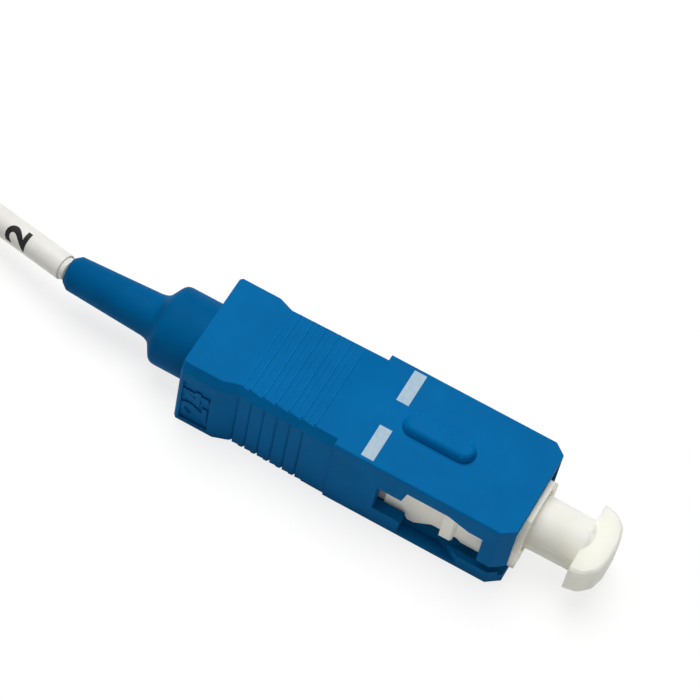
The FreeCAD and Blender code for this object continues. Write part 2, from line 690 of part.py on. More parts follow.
# ---------------------------------------------------------------------------------------------
# Stop ring, crimp and yarn: what closes the frame and holds the cable
# ---------------------------------------------------------------------------------------------
def make_stop_ring():
    """Plastic back piece: a sleeve that snaps into the frame, a flange, and a grooved crimp barrel."""
    bore, sleeve = "stop_bore / 2", "stop_dia / 2"
    barrel, deep = "crimp_barrel_dia / 2", "crimp_barrel_dia / 2 - crimp_groove"
    profile = [("stop_rear", bore), ("stop_rear", barrel)]
    for step in range(3):
        start = "stop_rear + 1 + %d * groove_pitch" % step
        profile += [(start, barrel), (start + " + 0.25", deep), (start + " + 0.5", barrel)]
    profile += [("stop_flange_rear", barrel), ("stop_flange_rear", "stop_flange_dia / 2"),
                ("frame_rear", "stop_flange_dia / 2"), ("frame_rear", sleeve),
                ("stop_front", sleeve), ("stop_front", bore)]
    body = turned("stop_ring", profile)
    rear, front = "snap_slot_x + snap_play", "snap_slot_x + snap_slot_length - snap_play"
    root, tip = sleeve + " - stop_barb", sleeve + " + stop_barb"
    barb = [(rear, root), (front, root), (front, sleeve), (rear + " + stop_barb", tip), (rear, tip)]
    high = "snap_slot_high - 2 * snap_play"
    raised = pad(body, "barb", outline(body, "barb_plan", "XY_Plane", barb, "0 - (%s) / 2" % high), high)
    mirror(body, "barbs", [raised])
    return body


def make_crimp_ring():
    """Thin metal sleeve crimped over the yarn, necked down on to the cable's jacket."""
    outer, inner = "(%s) / 2" % CRIMP_DIA, "(%s) / 2 - crimp_wall" % CRIMP_DIA
    neck_in = "lead_dia / 2 + crimp_play"
    neck_out = "lead_dia / 2 + crimp_play + crimp_wall"
    shoulder = "stop_rear - 0.1"
    return turned("crimp_ring", [("crimp_neck_rear", neck_in), ("crimp_neck_rear", neck_out),
                                 (shoulder + " - crimp_taper", neck_out), (shoulder, outer),
                                 ("crimp_front", outer), ("crimp_front", inner), (shoulder, inner),
                                 (shoulder + " - crimp_taper", neck_in)])


def make_boot():
    """Blue rubber boot: a barrel over the crimp, a rounded shoulder and a short tail."""
    tight = "(%s) / 2 + boot_fit / 2" % CRIMP_DIA
    lead = "boot_hole / 2"
    shoulder, turn, flare = "0 - boot_shoulder", "boot_shoulder_round", "boot_root_round"
    end_x = "0 - boot_out + boot_end_taper"
    return turned("boot", [("0 - boot_out", lead), ("0 - boot_out", "boot_end_dia / 2"),
                           (end_x, "boot_tail_dia / 2"), (shoulder + " - " + flare, "boot_root_dia / 2"),
                           (shoulder + " - 0.3 * " + flare, "boot_root_dia / 2 + 0.3 * " + flare),
                           (shoulder, "boot_root_dia / 2 + " + flare), (shoulder, "boot_dia / 2 - " + turn),
                           (shoulder + " + 0.3 * " + turn, "boot_dia / 2 - 0.3 * " + turn),
                           (shoulder + " + " + turn, "boot_dia / 2"),
                           ("boot_front", "boot_dia / 2"), ("boot_front", tight),
                           ("crimp_neck_rear - 0.6", tight), ("crimp_neck_rear - 1.8", lead)])


def make_dust_cap():
    """Milky cap: a hollow, slightly tapered barrel over the ferrule, closed by a flat finger tab."""
    rim, neck, bore = "cap_rim_dia / 2", "cap_neck_dia / 2", "cap_bore / 2"
    body = turned("dust_cap", [("cap_inside", bore + " + 0.15"), ("cap_inside", rim + " - 0.15"),
                               ("cap_inside + 0.2", rim), ("cap_neck_front", neck),
                               ("cap_neck_front + 0.7", "cap_head_thick / 2 - 0.1"),
                               ("cap_neck_front + 0.7", "0"), ("cap_bore_end", "0"),
                               ("cap_bore_end", bore), ("cap_inside + 0.3", bore)])
    front, side = "cap_neck_front + cap_head_length", "cap_neck_front + cap_head_side"
    right = [("cap_neck_front", "cap_head_width / 2"), (side, "cap_head_width / 2 - 0.22"),
             (front + " - 0.3", "cap_head_width / 3"), (front, "cap_head_width / 7")]
    plan = right + [(x, "0 - (%s)" % y) for x, y in reversed(right)]
    pad(body, "finger_tab", outline(body, "tab_plan", "XY_Plane", plan, "0 - cap_head_thick / 2"),
        "cap_head_thick")
    rear_x, thick, front_x = size("cap_neck_front"), size("cap_head_thick"), size(front)
    soften(body, "tab_corners", lambda e: abs(e.BoundBox.ZLength - thick) < 1e-3
           and e.CenterOfMass.x > rear_x + 0.1 and e.BoundBox.XLength < 1e-3, "cap_corner_round")
    soften(body, "tab_edges", lambda e: abs(abs(e.CenterOfMass.z) - thick / 2) < 1e-3
           and e.CenterOfMass.x > rear_x + 0.1
           and (abs(e.CenterOfMass.y) > thick / 2 or e.CenterOfMass.x > front_x - 0.1),
           "cap_edge_bevel", "Chamfer")
    return body


# ---------------------------------------------------------------------------------------------
# The lead: jacket inside the boot, a marker sleeve, the free run and its tied hank
# ---------------------------------------------------------------------------------------------
# The free run's points: back and sideways from the boot's end, and up from the underside of the
# grip.  The marker sleeve holds the first stretch straight, and the last point meets the hank.
LEAD_ROUTE = [(-15.1, 3.4, 1.8), (-23.6, 4.2, 0.92)]
ARC_SHARE = 0.45                # of the shorter run beside a turn, that its arc takes


def lead_points():
    """The route in the model's frame, from the middle of the boot's end face."""
    start = Vector(size(BOOT_END) - size(FRAME_SHIFT), 0, size(AXIS))
    return [start] + [Vector(start.x + x, start.y + y, z) for x, y, z in LEAD_ROUTE]


def make_lead_run():
    """The lead's jacket, swept along straight runs joined by tangent arcs."""
    points = lead_points()
    edges, at, length = [], points[0], 0
    for before, corner, after in zip(points, points[1:], points[2:]):
        come, leave = (corner - before).normalize(), (after - corner).normalize()
        turn = come.getAngle(leave)
        reach = ARC_SHARE * min((corner - before).Length, (after - corner).Length)
        radius = reach / math.tan(turn / 2)
        print("lead bend: radius %.1f mm, turn %.1f degrees" % (radius, math.degrees(turn)))
        first, last = corner - come * reach, corner + leave * reach
        inward = (leave - come).normalize()
        middle = corner + inward * (radius / math.cos(turn / 2) - radius)
        edges += [Part.LineSegment(at, first).toShape(), Part.Arc(first, middle, last).toShape()]
        at = last
    edges.append(Part.LineSegment(at, points[-1]).toShape())
    path = doc.addObject("Part::Feature", "lead_path")
    path.Shape = Part.Wire(edges)
    section = doc.addObject("Part::Circle", "lead_section")
    bind(section, "Radius", "lead_dia / 2")
    section.Placement = Placement(points[0], Rotation(Vector(0, 0, 1), points[1] - points[0]))
    run = doc.addObject("Part::Sweep", "lead_run")
    run.Label = "lead_run"
    run.Sections = [section]
    run.Spine = (path, [])
    run.Solid = True
    doc.recompute()
    print("lead run: volume %.2f, section times length %.2f mm3"
          % (run.Shape.Volume, math.pi / 4 * size("lead_dia") ** 2 * path.Shape.Length))
    return run


def make_marker_sleeve():
    """A slip-on marker tube round the first stretch of the lead, just behind the boot."""
    inner, outer = "lead_dia / 2 + sleeve_play", "lead_dia / 2 + sleeve_play + sleeve_wall"
    far = "sleeve_gap + sleeve_length"
    body = turned("marker_sleeve", [("sleeve_gap", inner), ("sleeve_gap", outer),
                                    (far, outer), (far, inner)])
    start, corner = lead_points()[:2]
    body.setExpression("Placement.Base.x", None)
    body.setExpression("Placement.Base.z", None)
    body.Placement = Placement(start, Rotation(Vector(1, 0, 0), corner - start))
    doc.recompute()
    return body


def make_lead_hank():
    """The rest of the lead, as the outer shape of a tied hank that the free run enters along one side."""
    last = lead_points()[-1]
    middle = last - Vector(size("hank_run / 2"), size("hank_ring"), last.z)
    body = doc.addObject("PartDesign::Body", "lead_hank")
    body.Placement = Placement(middle, Rotation())
    plan = new_sketch(body, "hank_plan", "XY_Plane", "0")
    rounded_slot(plan, "0 - hank_run / 2", "hank_run / 2", "hank_width / 2")
    rounded_slot(plan, "0 - hank_run / 2", "hank_run / 2", "hank_slot / 2")
    pad(body, "hank_strands", plan, "hank_height")
    print("hank: middle at %.2f %.2f" % (middle.x, middle.y))
    return body


# ---------------------------------------------------------------------------------------------
# Build every piece, check each one, and write them
# ---------------------------------------------------------------------------------------------
PIECES = [
    make_grip(),
    make_plug_frame(),
    make_ferrule(),
    rod("glass_fibre", FERRULE_REAR, "ferrule_tip", "fibre_dia"),
    make_flange(),
    rod("inner_tube", "tube_rear", FERRULE_REAR + " - tube_hold", "tube_dia", "tube_bore"),
    rod("tight_buffer", "buffer_rear", FERRULE_REAR, "buffer_dia"),
    make_spring(),
    make_stop_ring(),
    rod("aramid_yarn", "stop_rear", "crimp_front - yarn_back",
        "crimp_barrel_dia + 2 * yarn_thick", "crimp_barrel_dia"),
    make_crimp_ring(),
    make_boot(),
    make_dust_cap(),
    rod("lead_jacket_end", BOOT_END, "stop_rear - 0.1 - crimp_taper", "lead_dia"),
    make_lead_run(),
    make_marker_sleeve(),
    make_lead_hank(),
]

doc.recompute()
for thing in doc.Objects:
    if "Invalid" in thing.State or "Error" in thing.State:
        raise RuntimeError("object failed: %s %s" % (thing.Label, thing.State))
for piece in PIECES:
    shape = piece.Shape
    if shape.isNull() or not shape.isValid() or len(shape.Solids) != 1:
        raise RuntimeError("piece has no sound single solid: " + piece.Label)

os.makedirs("parts", exist_ok=True)
for piece in PIECES:
    piece.Shape.exportStep("parts/%s.step" % piece.Label)
    box = piece.Shape.BoundBox
    print("%-16s %9.3f mm3  X %.2f..%.2f  Y %.2f..%.2f  Z %.2f..%.2f"
          % (piece.Label, piece.Shape.Volume, box.XMin, box.XMax, box.YMin, box.YMax, box.ZMin, box.ZMax))
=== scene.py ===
import math

import bmesh
import bpy
from mathutils import Matrix, Vector


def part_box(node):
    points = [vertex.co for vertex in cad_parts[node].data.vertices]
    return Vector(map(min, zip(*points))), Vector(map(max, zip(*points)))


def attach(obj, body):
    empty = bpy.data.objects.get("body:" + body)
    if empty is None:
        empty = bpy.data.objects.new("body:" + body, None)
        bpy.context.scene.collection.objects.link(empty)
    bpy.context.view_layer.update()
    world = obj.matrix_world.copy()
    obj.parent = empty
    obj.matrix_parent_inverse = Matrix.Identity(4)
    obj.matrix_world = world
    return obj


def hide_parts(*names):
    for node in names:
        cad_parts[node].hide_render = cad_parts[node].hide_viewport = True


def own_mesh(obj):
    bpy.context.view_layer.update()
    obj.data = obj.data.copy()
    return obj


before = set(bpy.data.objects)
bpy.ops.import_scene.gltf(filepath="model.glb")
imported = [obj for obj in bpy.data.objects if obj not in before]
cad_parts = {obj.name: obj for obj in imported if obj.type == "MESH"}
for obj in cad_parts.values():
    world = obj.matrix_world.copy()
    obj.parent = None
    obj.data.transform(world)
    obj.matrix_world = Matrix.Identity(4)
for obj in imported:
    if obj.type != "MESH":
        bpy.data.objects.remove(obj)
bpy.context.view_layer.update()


# ---- Bench, light and camera ---------------------------------------------------------------
# The connector lies on a plain pale bench under one wide soft lamp, with a small fill from the
# near side. The camera looks down on it from the open latch side.
MM = 0.001
scene = bpy.context.scene
scene.view_settings.view_transform = "Standard"
eye = Vector((37.5685, -123.488, 216.9775)) * MM
right = Vector((0.87213, 0.47307, 0.12489))
down = Vector((0.46375, -0.71789, -0.51920))
ahead = Vector((-0.15596, 0.51073, -0.84548))
lens = bpy.data.cameras.new("camera")
lens.lens = 174.915
lens.sensor_width = 36.0
lens.clip_start = 0.01
camera = bpy.data.objects.new("camera", lens)
camera.matrix_world = Matrix(((right.x, -down.x, -ahead.x, eye.x), (right.y, -down.y, -ahead.y, eye.y),
                              (right.z, -down.z, -ahead.z, eye.z), (0, 0, 0, 1)))
scene.collection.objects.link(camera)
scene.camera = camera


class Wire:
    """A shader socket that can stand in a sum: each sum adds its own Math node."""

    def __init__(self, tree, socket):
        self.tree = tree
        self.socket = socket

    def node(self, kind, settings, pins, out=0):
        """Add any other node: its settings first, then a value or a wire for each socket."""
        made = self.tree.nodes.new(kind)
        for name, value in settings.items():
            setattr(made, name, value)
        for pin, value in pins.items():
            if isinstance(value, Wire):
                self.tree.links.new(value.socket, made.inputs[pin])
            else:
                made.inputs[pin].default_value = value
        return Wire(self.tree, made.outputs[out])

    def sum(self, operation, first, second):
        return self.node("ShaderNodeMath", {"operation": operation}, {0: first, 1: second})

    def __add__(self, other):
        return self.sum("ADD", self, other)

    def __radd__(self, other):
        return self.sum("ADD", other, self)

    def __sub__(self, other):
        return self.sum("SUBTRACT", self, other)

    def __rsub__(self, other):
        return self.sum("SUBTRACT", other, self)

    def __mul__(self, other):
        return self.sum("MULTIPLY", self, other)

    def __rmul__(self, other):
        return self.sum("MULTIPLY", other, self)

    def between(self, low, high):
        """Where this lies between two values, from 0 to 1, with soft ends."""
        return self.node("ShaderNodeMapRange", {"interpolation_type": "SMOOTHSTEP"},
                         {"Value": self, "From Min": low, "From Max": high})

    def tinted(self, low, high):
        """A colour from low, at 0, to high, at 1."""
        return self.node("ShaderNodeMix", {"data_type": "RGBA"}, {0: self, 6: low, 7: high}, out=2)

    def noise(self, scale, detail):
        """Soft noise over this place."""
        return self.node("ShaderNodeTexNoise", {}, {"Vector": self, "Scale": scale, "Detail": detail})

    def raised(self, strength, distance, **pins):
        """A bumped normal, as high as this says."""
        return self.node("ShaderNodeBump", {},
                         {"Height": self, "Strength": strength, "Distance": distance, **pins})

    def into(self, shader, socket):
        self.tree.links.new(self.socket, shader.inputs[socket])


def paint(code):
    """A colour as a paint chart gives it, made ready for a shader."""
    parts = [int(code[i:i + 2], 16) / 255 for i in (0, 2, 4)]
    return tuple(c / 12.92 if c <= 0.04045 else ((c + 0.055) / 1.055) ** 2.4 for c in parts) + (1.0,)


def new_finish(name, **held):
    """A material, its shader and the place on the piece; held values are the same all over."""
    material = bpy.data.materials.new(name)
    material.use_nodes = True
    tree = material.node_tree
    shader = tree.nodes["Principled BSDF"]
    for socket, value in held.items():
        shader.inputs[socket.replace("_", " ")].default_value = value
    return material, shader, Wire(tree, tree.nodes.new("ShaderNodeTexCoord").outputs["Object"])


bench_paint, shader, place = new_finish("bench_paint", Roughness=0.85, Specular_IOR_Level=0.1)
place.noise(300.0, 2.0).tinted(paint("F4F4F2"), paint("F8F8F6")).into(shader, "Base Color")
seen = place.node("ShaderNodeLightPath", {}, {}, out="Is Camera Ray")
glossy = Wire(seen.tree, seen.socket.node.outputs["Is Glossy Ray"])
glow = seen.node("ShaderNodeEmission", {}, {"Color": (1, 1, 1, 1), "Strength": 1.05})
plain = Wire(seen.tree, shader.outputs[0])
both = seen.node("ShaderNodeMixShader", {}, {0: (seen + glossy) * 0.75, 1: plain, 2: glow})
seen.tree.links.new(both.socket, seen.tree.nodes["Material Output"].inputs["Surface"])
bench_radius, bench_sides, bench_top = 3.0, 64, -0.01 * MM
bearings = [math.tau * i / bench_sides for i in range(bench_sides)]
ring = [(bench_radius * math.cos(a), bench_radius * math.sin(a), bench_top) for a in bearings]
bench_mesh = bpy.data.meshes.new("bench")
bench_mesh.from_pydata(ring, [], [tuple(range(bench_sides))])
bench_mesh.materials.append(bench_paint)
bench = bpy.data.objects.new("bench", bench_mesh)
scene.collection.objects.link(bench)


def hang_lamp(name, spot, size, power):
    """A round soft lamp, aimed at the connector."""
    lamp = bpy.data.lights.new(name, "AREA")
    lamp.shape = "DISK"
    lamp.size = size
    lamp.energy = power
    hung = bpy.data.objects.new(name, lamp)
    hung.location = spot
    hung.rotation_euler = (-Vector(spot)).to_track_quat("-Z", "Y").to_euler()
    scene.collection.objects.link(hung)


hang_lamp("wide_lamp", (-0.10, 0.16, 0.60), 0.55, 4.5)
hang_lamp("near_lamp", (0.06, -0.40, 0.30), 0.35, 0.22)

world = bpy.data.worlds.new("room")
world.use_nodes = True
scene.world = world
sky = Wire(world.node_tree, world.node_tree.nodes["Background"].outputs[0])
sky.socket.node.inputs["Strength"].default_value = 0.41
path = sky.node("ShaderNodeLightPath", {}, {}, out="Is Camera Ray")
ray_kinds = ("Is Glossy Ray", "Is Transmission Ray")
rays = [Wire(path.tree, path.socket.node.outputs[kind]) for kind in ray_kinds]
white = sky.node("ShaderNodeBackground", {}, {"Color": (1, 1, 1, 1), "Strength": 1.0})
room = sky.node("ShaderNodeMixShader", {}, {0: path + rays[0] + rays[1], 1: sky, 2: white})
sky.tree.links.new(room.socket, world.node_tree.nodes["World Output"].inputs["Surface"])


# ---- Lead ----------------------------------------------------------------------------------
# A white round jacket, 1.8 mm thick, over aramid yarn and the buffered fibre. It leaves the boot
# straight and settles on the bench, and the rest is laid up in a hank of five layers, two strands
# wide: at each crossing the strand moves in, out or up before it comes to the last lap's place.
strand = 0.9 * MM
axis_height = 3.695 * MM
lead_exit = Vector((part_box("boot")[0].x, 0, axis_height))
lead_bends = [(-15.1, 3.4, 1.8), (-23.6, 4.2, 0.92)]
lead_line = [lead_exit] + [Vector((lead_exit.x + x * MM, y * MM, z * MM)) for x, y, z in lead_bends]
hank_run, ring_out, ring_in, layer_rise = 32.0 * MM, 7.42 * MM, 5.60 * MM, 1.80 * MM
tie_width, tie_lift, lift_run = 7.0 * MM, 0.22 * MM, 6.0 * MM
mean_bend = math.pi * (ring_out + ring_in) / 2
straight_share, bend_share = [part / (2 * hank_run + 2 * mean_bend) for part in (hank_run, mean_bend)]
strand_count, move_share, marks_per_lap = 10, 0.112, 44
hank_start = lead_line[-1] - Vector((0, ring_out, 0))


def eased(value):
    """From 0 to 1 with soft ends."""
    value = min(1.0, max(0.0, value))
    return value * value * (3 - 2 * value)


for mark in range(1, int(marks_per_lap * strand_count * (1 - move_share))):
    lap = mark / marks_per_lap
    moves = [eased((lap - m * (1 - move_share)) / move_share) for m in range(1, strand_count)]
    layer = sum(moves[1::2])
    inward = sum(move * (1 if i % 2 == 0 else -1) for i, move in enumerate(moves[0::2]))
    ring = ring_out + (ring_in - ring_out) * inward
    share = lap % 1.0
    if share < straight_share:
        x, y = -hank_run * share / straight_share, ring
    elif share < straight_share + bend_share:
        turn = math.pi * (share - straight_share) / bend_share
        x, y = -hank_run - ring * math.sin(turn), ring * math.cos(turn)
    elif share < 2 * straight_share + bend_share:
        x, y = -hank_run + hank_run * (share - straight_share - bend_share) / straight_share, -ring
    else:
        turn = math.pi * (share - 2 * straight_share - bend_share) / bend_share
        x, y = ring * math.sin(turn), -ring * math.cos(turn)
    lift = tie_lift * eased(1.4 - (abs(x + hank_run / 2) - tie_width / 2) / lift_run)
    lead_line.append(hank_start + Vector((x, y, layer_rise * layer + lift)))


def laid_line(name, points, radius):
    """A smooth line pulled by its points, as thick as the radius says."""
    curve = bpy.data.curves.new(name, "CURVE")
    curve.dimensions = "3D"
    curve.resolution_u = 3
    curve.bevel_depth = radius
    curve.bevel_resolution = 6
    curve.use_fill_caps = True
    spline = curve.splines.new("NURBS")
    spline.points.add(len(points) - 1)
    for knot, point in zip(spline.points, points):
        knot.co = (*point, 1.0)
    spline.order_u = 3
    spline.use_endpoint_u = True
    line = bpy.data.objects.new(name, curve)
    scene.collection.objects.link(line)
    return line


def finish_node(node, material):
    """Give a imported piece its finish."""
    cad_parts[node].data.materials.clear()
    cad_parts[node].data.materials.append(material)


lead = laid_line("lead", lead_line, strand)
jacket_white, shader, place = new_finish("jacket_white", Roughness=0.45, Specular_IOR_Level=0.2)
flow = place.noise(900.0, 4.0).between(0.3, 0.7)
flow.tinted(paint("DCDAD4"), paint("E6E5E0")).into(shader, "Base Color")
place.noise(9000.0, 2.0).raised(0.12, 0.02 * MM).into(shader, "Normal")
lead.data.materials.append(jacket_white)
finish_node("lead_jacket_end", jacket_white)
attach(lead, "plug")
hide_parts("lead_run", "lead_hank")


# ---- Tie round the hank --------------------------------------------------------------------
# A soft hook-and-loop strap, 7 mm wide, wrapped once round the middle of the hank and pressed down
# on its own end on top.
def mesh_piece(name, verts, faces, material, body, slot, corner_angle=30):
    """A piece from points and faces, smooth but for corners sharper than the angle."""
    mesh = bpy.data.meshes.new(name)
    mesh.from_pydata([tuple(v) for v in verts], [], faces)
    mesh.materials.append(material)
    work = bmesh.new()
    work.from_mesh(mesh)
    bmesh.ops.remove_doubles(work, verts=work.verts, dist=1e-7)
    bmesh.ops.recalc_face_normals(work, faces=work.faces)
    work.to_mesh(mesh)
    work.free()
    mesh.shade_smooth()
    mesh.set_sharp_from_angle(angle=math.radians(corner_angle))
    piece = bpy.data.objects.new(name, mesh)
    scene.collection.objects.link(piece)
    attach(piece, body)
    return piece


def swept_band(section, stations):
    """Points and faces of a closed section carried along stations of (place, across, outward)."""
    verts, faces, count = [], [], len(section)
    for spot, across, outward in stations:
        verts += [spot + across * a + outward * b for a, b in section]
    for step in range(len(stations) - 1):
        here, after = step * count, (step + 1) * count
        for i in range(count):
            j = (i + 1) % count
            faces.append((here + i, here + j, after + j, after + i))
    return verts, faces + [tuple(range(count)), tuple(range(len(verts) - count, len(verts)))]


tie_middle = hank_start + Vector((-hank_run / 2, 0, 0))
tie_thick, tie_gap, tie_lap, lap_steps = 0.17 * MM, 0.02 * MM, 7.0 * MM, 16
low_z = hank_start.z + tie_lift
high_z = low_z + (strand_count / 2 - 1) * layer_rise
corners = [(ring_out, high_z, 90), (ring_out, low_z, 0), (-ring_out, low_z, -90), (-ring_out, high_z, -180)]
outline = [(-tie_lap / 2 + tie_lap * i / 12, high_z, 90) for i in range(13)]
for y, z, first in corners:
    outline += [(y, z, first - 90 * i / 8) for i in range(9)]
outline += [(-tie_lap / 2 + tie_lap * i / lap_steps, high_z, -270) for i in range(lap_steps + 1)]
lap_start = len(outline) - lap_steps - 1
stations = []
for i, (y, z, bearing) in enumerate(outline):
    outward = Vector((0, math.cos(math.radians(bearing)), math.sin(math.radians(bearing))))
    over = eased((i - lap_start) / 3) * (tie_thick + 0.004 * MM)
    spot = Vector((tie_middle.x, tie_middle.y + y, z)) + outward * (strand + tie_gap + over)
    stations.append((spot, Vector((1, 0, 0)), outward))
half, soft = tie_width / 2, 0.06 * MM
strap_section = [(-half + soft, 0), (half - soft, 0), (half, soft), (half, tie_thick - soft),
                 (half - soft, tie_thick), (-half + soft, tie_thick), (-half, tie_thick - soft),
                 (-half, soft)]
strap_grey, shader, place = new_finish("strap_grey", Roughness=0.9, Specular_IOR_Level=0.1)
loops = place.node("ShaderNodeTexVoronoi", {}, {"Vector": place, "Scale": 3200.0})
fuzz = place.noise(2500.0, 4.0)
(loops * 0.6 + fuzz * 0.4).tinted(paint("1D1E20"), paint("46484C")).into(shader, "Base Color")
loops.raised(0.6, 0.08 * MM).into(shader, "Normal")
strap = mesh_piece("hank_strap", *swept_band(strap_section, stations), strap_grey, "plug", "lead_jacket")


# ---- Bare end of the lead ------------------------------------------------------------------
# The far end is left bare for splicing: the jacket is cut square, and a short piece of the yarn
# and of the buffered fibre stands out of it.
def line_points(points):
    """The places that a laid line runs through, close together."""
    bare = laid_line("bare", points, 0.0)
    run = bpy.data.meshes.new_from_object(bare.evaluated_get(bpy.context.evaluated_depsgraph_get()))
    places = [v.co.copy() for v in run.vertices]
    bpy.data.objects.remove(bare)
    bpy.data.meshes.remove(run)
    return places


def ringed(rings, around):
    """Points and faces of a closed profile of (place, heading, radius), each ring joined to the next."""
    verts, faces = [], []
    for j, (spot, heading, radius) in enumerate(rings):
        level = heading.cross(Vector((0, 0, 1))).normalized()
        upright = level.cross(heading).normalized()
        verts += [spot + radius * (math.cos(a) * level + math.sin(a) * upright)
                  for a in [math.tau * i / around for i in range(around)]]
        here, after = j * around, (j + 1) % len(rings) * around
        for i in range(around):
            k = (i + 1) % around
            faces.append((here + i, here + k, after + k, after + i))
    return verts, faces


def turned(profile, start, heading, around=64):
    """A closed profile of (along, radius), in millimetres, turned about a heading."""
    return ringed([(start + heading * a * MM, heading, r * MM) for a, r in profile], around)


end_points = line_points(lead_line)[-2:]
end_heading = (end_points[1] - end_points[0]).normalized()
buffer_white, shader, place = new_finish("buffer_white", Roughness=0.35, Specular_IOR_Level=0.3)
place.noise(1500.0, 3.0).tinted(paint("E4E0D2"), paint("F0EEE6")).into(shader, "Base Color")
yarn_yellow, shader, place = new_finish("yarn_yellow", Roughness=0.75, Specular_IOR_Level=0.3)
lie = place.node("ShaderNodeMapping", {}, {"Vector": place, "Scale": (300.0, 9000.0, 9000.0)})
fibres = lie.noise(1.0, 4.0)
fibres.between(0.35, 0.65).tinted(paint("B79A3C"), paint("E3CE7A")).into(shader, "Base Color")
fibres.raised(0.5, 0.04 * MM).into(shader, "Normal")
stub = [(-0.5, 0.02), (-0.5, 0.44), (1.10, 0.45), (1.14, 0.42), (1.14, 0.14), (1.9, 0.125), (1.9, 0.02)]
bare_end = mesh_piece("bare_end", *turned(stub, end_points[1], end_heading, 24), buffer_white,
                      "plug", "buffer")
tuft = [(-0.4, 0.47), (-0.4, 0.66), (0.35, 0.70), (0.62, 0.60), (0.70, 0.52), (0.5, 0.47)]
yarn_end = mesh_piece("yarn_end", *turned(tuft, end_points[1], end_heading, 24), yarn_yellow,
                      "plug", "aramid")


# ---- Marker sleeve -------------------------------------------------------------------------
# A milky-white tube slipped over the lead before the connector was fitted. It holds the first
# stretch straight, and carries one plain number in black ink.
def along(places, distance):
    """The place and heading so far along a line."""
    for here, after in zip(places, places[1:]):
        step = (after - here).length
        if distance <= step or after is places[-1]:
            return here + (after - here) * (distance / step), (after - here).normalized()
        distance -= step


sleeve_out = 1.05
first_run = line_points(lead_line[:6])
sleeve_profile = [(0.70, 0.903), (0.46, 0.903), (0.42, 0.94), (0.42, 1.00), (0.45, 1.035),
                  (0.50, sleeve_out)]
sleeve_profile += [(0.6 + 9.9 * i / 20, sleeve_out) for i in range(21)]
sleeve_profile += [(11.05, sleeve_out), (11.1, sleeve_out - 0.05)]
sleeve_profile += [(11.1 - 10.2 * i / 10, 0.95) for i in range(11)]
sleeve_white, shader, place = new_finish("sleeve_white", Roughness=0.35, Specular_IOR_Level=0.25)
cloud = place.noise(600.0, 3.0).between(0.3, 0.7)
cloud.tinted(paint("E2E0DA"), paint("EAE8E3")).into(shader, "Base Color")
place.noise(7000.0, 2.0).raised(0.08, 0.02 * MM).into(shader, "Normal")
sleeve_rings = [(*along(first_run, distance * MM), radius * MM) for distance, radius in sleeve_profile]
sleeve = mesh_piece("sleeve", *ringed(sleeve_rings, 48), sleeve_white, "plug", "marker_white")
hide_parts("marker_sleeve")


def flat_number(text, height, thick=0.0):
    """A plain number, its middle at the origin; one with no thickness is cut in strips to bend."""
    font = bpy.data.curves.new("number", "FONT")
    font.body = text
    font.align_x = "CENTER"
    font.align_y = "CENTER"
    font.size = height
    font.resolution_u = 6
    font.extrude = thick
    font.offset = 0.030 * height
    drawn = bpy.data.objects.new("number", font)
    scene.collection.objects.link(drawn)
    bpy.context.view_layer.update()
    mesh = bpy.data.meshes.new_from_object(drawn.evaluated_get(bpy.context.evaluated_depsgraph_get()))
    bpy.data.objects.remove(drawn)
    work = bmesh.new()
    work.from_mesh(mesh)
    bmesh.ops.remove_doubles(work, verts=work.verts, dist=1e-8)
    if not thick:
        for strip in range(-12, 13):
            bmesh.ops.bisect_plane(work, geom=work.verts[:] + work.edges[:] + work.faces[:], dist=1e-7,
                                   plane_co=(strip * height / 24, 0, 0), plane_no=(1, 0, 0))
    bmesh.ops.triangulate(work, faces=work.faces)
    work.to_mesh(mesh)
    work.free()
    return mesh


ink_black, shader, place = new_finish("ink_black", Roughness=0.5, Specular_IOR_Level=0.2)
patch = place.noise(5000.0, 3.0).between(0.35, 0.7)
patch.tinted(paint("121212"), paint("1E1E1E")).into(shader, "Base Color")
number_from_boot, number_turn, number_wide, ink_rise = 4.6 * MM, math.radians(132), 1.25, 0.010 * MM
number = flat_number("2", 2.7 * MM)
verts = []
for corner in number.vertices:
    spot, heading = along(first_run, number_from_boot + corner.co.y)
    level = heading.cross(Vector((0, 0, 1))).normalized()
    turn = number_turn - number_wide * corner.co.x / (sleeve_out * MM)
    outward = math.cos(turn) * level + math.sin(turn) * level.cross(heading).normalized()
    verts.append(spot + (sleeve_out * MM + ink_rise) * outward)
sleeve_number = mesh_piece("sleeve_number", verts, [tuple(p.vertices) for p in number.polygons], ink_black,
                           "plug", "marker_white")


# ---- Ferrule and its holder ----------------------------------------------------------------
# A ground white ceramic ferrule with the glass fibre glued through it, pressed into a nickel-plated
# brass holder whose notched flange rests on the plug frame's seat.
ceramic_white, shader, place = new_finish("ceramic_white", Roughness=0.12, Specular_IOR_Level=0.7,
                                          Coat_Weight=0.3)
place.noise(700.0, 3.0).tinted(paint("EDEBE4"), paint("F6F5F0")).into(shader, "Base Color")
ferrule_low, ferrule_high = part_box("ferrule")
ferrule_length = (ferrule_high.x - ferrule_low.x) / MM
bore_radius, ferrule_radius, tip_across, tip_long = 0.063, 1.2495, 0.225, 0.45
ferrule_profile = [(0, bore_radius), (0, ferrule_radius - 0.0495), (0.05, ferrule_radius)]
ferrule_profile += [(ferrule_length - tip_long + tip_long * math.sin(a),
                     ferrule_radius - tip_across + tip_across * math.cos(a))
                    for a in [math.radians(15 * i) for i in range(7)]]
ferrule_profile += [(ferrule_length, bore_radius)]
ferrule_back = Vector((ferrule_low.x, 0, axis_height))
ferrule = mesh_piece("ferrule_body", *turned(ferrule_profile, ferrule_back, Vector((1, 0, 0))),
                     ceramic_white, "ferrule_set", "ceramic")
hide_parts("ferrule")

